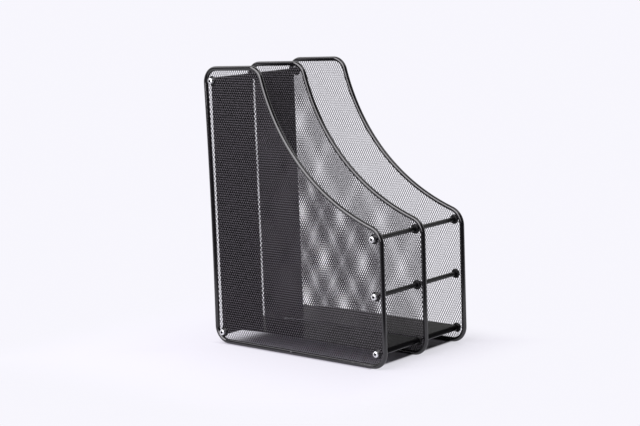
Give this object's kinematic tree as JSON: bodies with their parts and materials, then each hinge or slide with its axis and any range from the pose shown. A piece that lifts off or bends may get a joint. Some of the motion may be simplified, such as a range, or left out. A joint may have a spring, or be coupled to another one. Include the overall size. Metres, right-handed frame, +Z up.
{
  "type": "magazine holder",
  "caption": "Divided upright desk magazine holder: expanded-metal panels in bent-wire frames, swept down to a low front, joined by rolled-edge plates, cross rods and small screws.",
  "frame": {"origin": "on the desk, under the middle of the holder's overall box", "axes": "+Z up, -Y towards the low open front, +X towards the right-hand panel when seen from the front"},
  "size_m": [0.1504, 0.2477, 0.3153],
  "materials": {
    "frame_coat": "satin black powder coat",
    "mesh_coat": "satin black powder coat",
    "plate_coat": "satin black powder coat",
    "rod_coat": "satin black powder coat",
    "bright_zinc": "bright zinc plate"
  },
  "bodies": {
    "root": {"left_frame": "frame_coat", "left_mesh": "mesh_coat", "middle_frame": "frame_coat", "middle_mesh": "mesh_coat", "right_frame": "frame_coat", "right_mesh": "mesh_coat", "left_back_plate": "plate_coat", "left_bottom_plate": "plate_coat", "left_upper_rod": "rod_coat", "left_middle_rod": "rod_coat", "left_front_bottom_plug_a": "rod_coat", "left_front_bottom_plug_b": "rod_coat", "left_back_top_plug_a": "rod_coat", "left_back_top_plug_b": "rod_coat", "left_back_bottom_plug_a": "rod_coat", "left_back_bottom_plug_b": "rod_coat", "right_back_plate": "plate_coat", "right_bottom_plate": "plate_coat", "right_upper_rod": "rod_coat", "right_middle_rod": "rod_coat", "right_front_bottom_plug_a": "rod_coat", "right_front_bottom_plug_b": "rod_coat", "right_back_top_plug_a": "rod_coat", "right_back_top_plug_b": "rod_coat", "right_back_bottom_plug_a": "rod_coat", "right_back_bottom_plug_b": "rod_coat", "left_front_top_screw": "bright_zinc", "right_front_top_screw": "bright_zinc", "front_top_stud": "bright_zinc", "left_front_middle_screw": "bright_zinc", "right_front_middle_screw": "bright_zinc", "front_middle_stud": "bright_zinc", "left_front_bottom_screw": "bright_zinc", "right_front_bottom_screw": "bright_zinc", "front_bottom_stud": "bright_zinc", "left_back_top_screw": "bright_zinc", "right_back_top_screw": "bright_zinc", "back_top_stud": "bright_zinc", "left_back_bottom_screw": "bright_zinc", "right_back_bottom_screw": "bright_zinc", "back_bottom_stud": "bright_zinc"}
  },
  "joints": []
}
